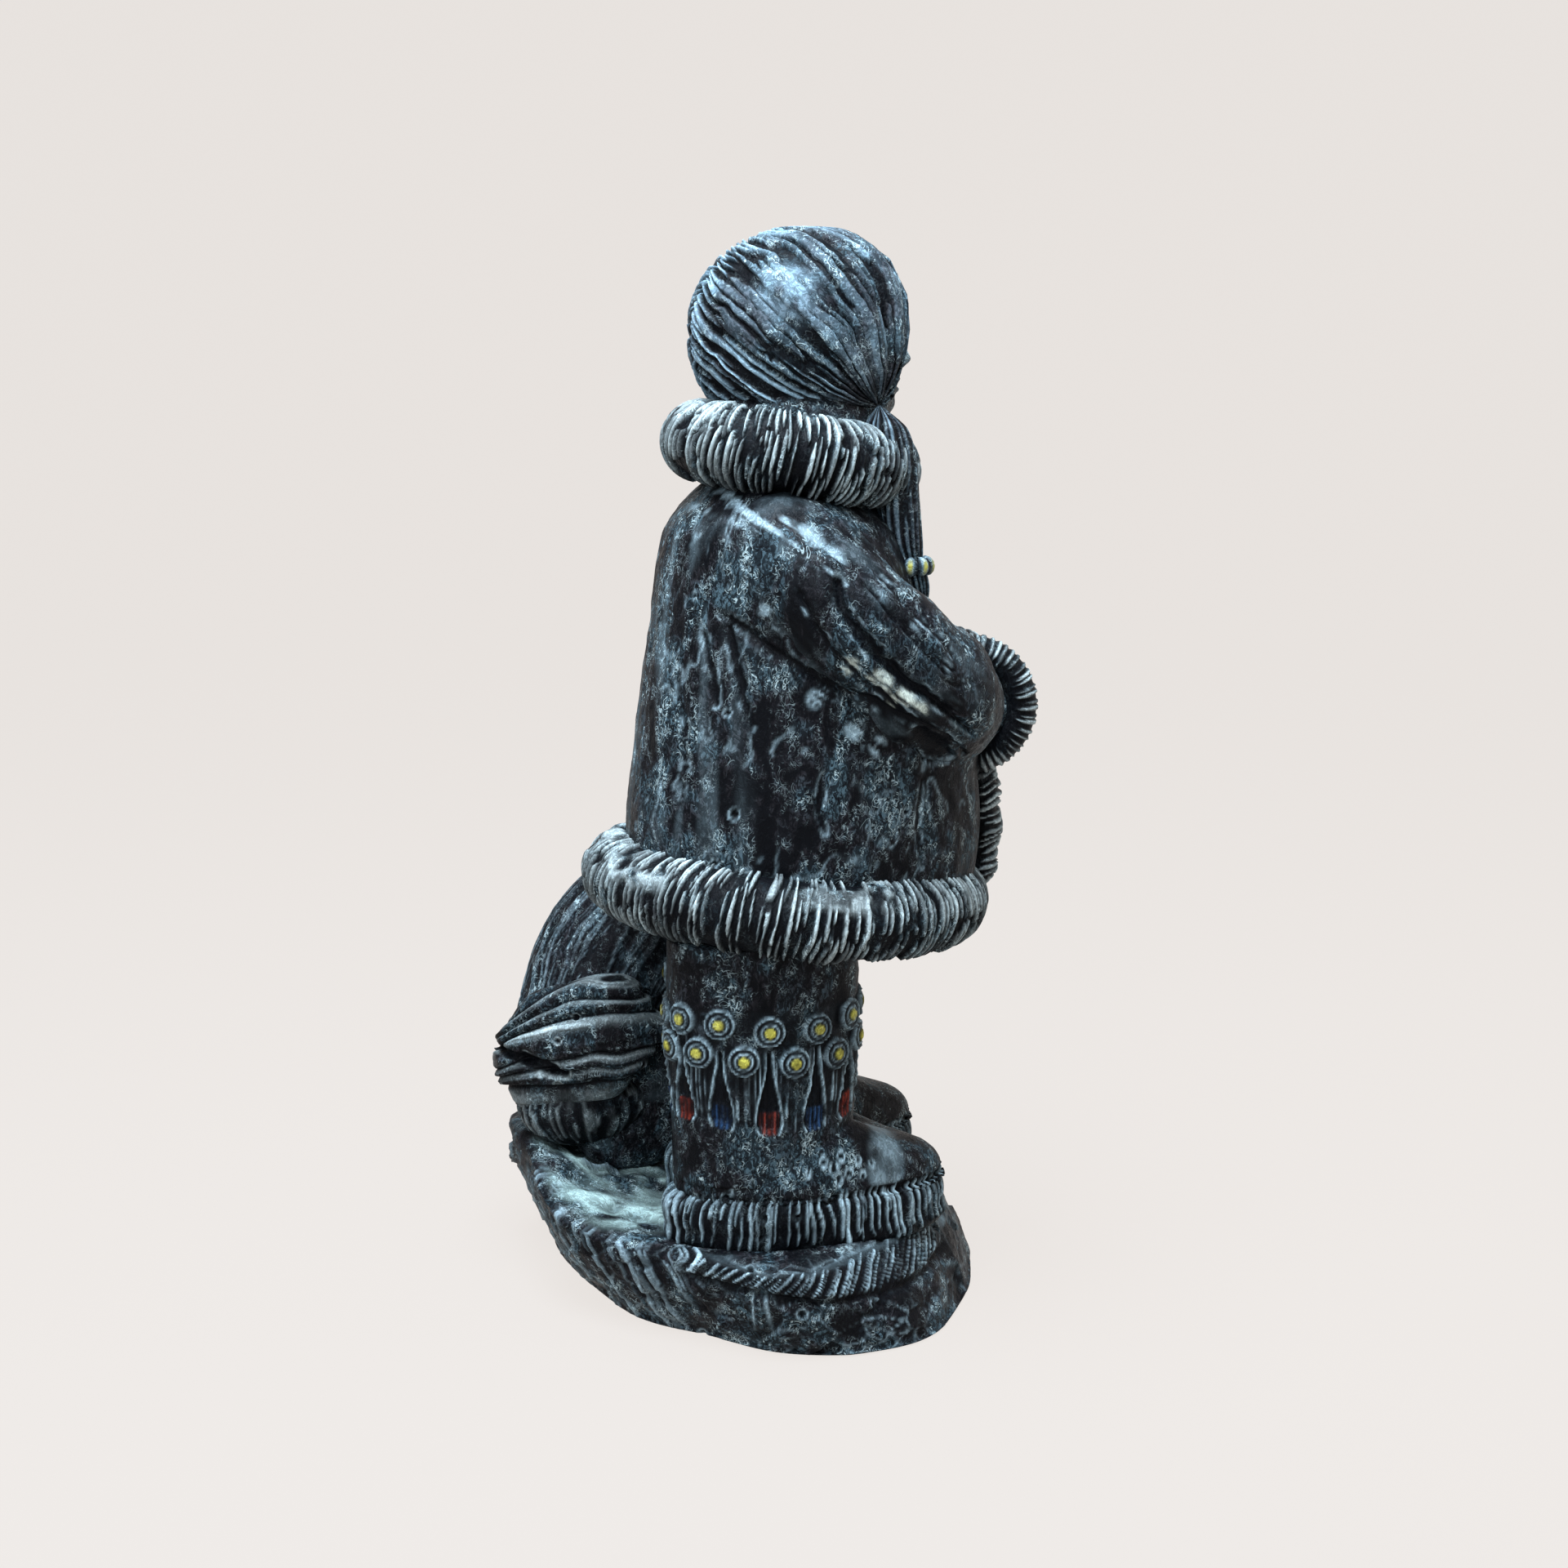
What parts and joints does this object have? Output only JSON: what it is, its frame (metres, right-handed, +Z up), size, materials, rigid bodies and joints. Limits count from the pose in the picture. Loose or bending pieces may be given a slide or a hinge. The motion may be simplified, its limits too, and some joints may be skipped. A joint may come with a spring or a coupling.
{
  "type": "arctic figure and dog sculpture",
  "caption": "Cast stone ornament: a standing figure in a fur-trimmed parka and beaded boots with a sitting sled dog on a rough rock base. It rests on its flat underside.",
  "frame": {"origin": "on the flat underside of the base, below the middle of the standing figure", "axes": "+Z up, the figure and the dog face -Y, and the dog sits at the figure's left hand, +X"},
  "size_m": [0.1038, 0.1125, 0.2285],
  "materials": {
    "cast_stone": "satin near-black, with pale blue-grey rubbed into the carving"
  },
  "bodies": {
    "root": {"figure_and_dog": "cast_stone"}
  },
  "joints": []
}
